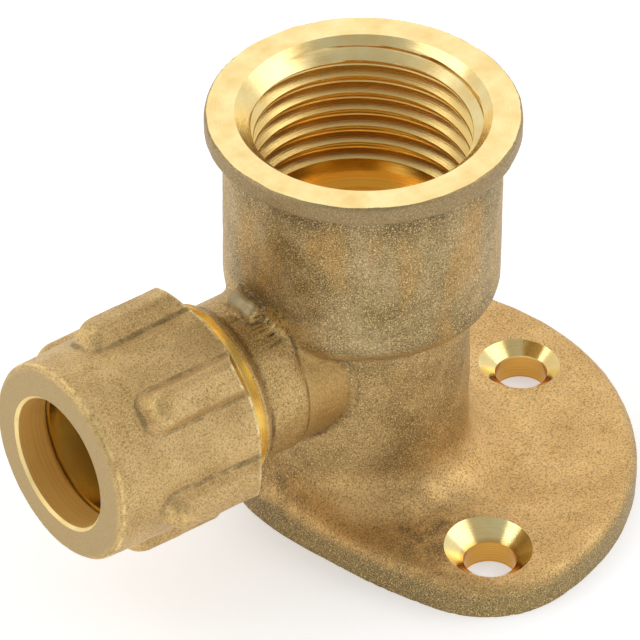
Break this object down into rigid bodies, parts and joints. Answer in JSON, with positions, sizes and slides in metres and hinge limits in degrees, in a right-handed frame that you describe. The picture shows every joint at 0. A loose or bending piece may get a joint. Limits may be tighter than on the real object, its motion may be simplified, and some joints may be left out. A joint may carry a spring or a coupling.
{
  "type": "wall plate elbow",
  "caption": "Forged brass wall plate elbow: threaded outlet socket on a D-shaped screw plate, with a side branch that takes a pipe in a ribbed compression nut and olive.",
  "frame": {"origin": "on the axis of the outlet socket, at the wall face of the plate", "axes": "+Z out of the outlet socket, away from the wall; -X out of the pipe inlet, along the branch; Y across, with the two sides mirroring each other"},
  "size_m": [0.0576, 0.049, 0.04],
  "materials": {
    "body_brass": "hot-stamped and blasted, with bright turned faces",
    "nut_brass": "hot-stamped and tumbled, with a bright turned bore",
    "olive_brass": "turned"
  },
  "bodies": {
    "elbow": {"elbow_body": "body_brass"},
    "olive_ring": {"olive": "olive_brass"},
    "nut": {"compression_nut": "nut_brass"}
  },
  "joints": [
    {"name": "nut_travel", "type": "slide", "parent": "elbow", "child": "olive_ring", "axis": [-1, 0, 0], "range_m": [0, 0.00736]},
    {"name": "nut_turn", "type": "hinge", "parent": "olive_ring", "child": "nut", "pos_m": [-0.0255, 0, 0.017], "axis": [-1, 0, 0], "range_deg": [0, 1980]}
  ],
  "couplings": [
    {"joint": "nut_travel", "follows": "nut_turn", "m_per_rad": 0.00021279}
  ]
}
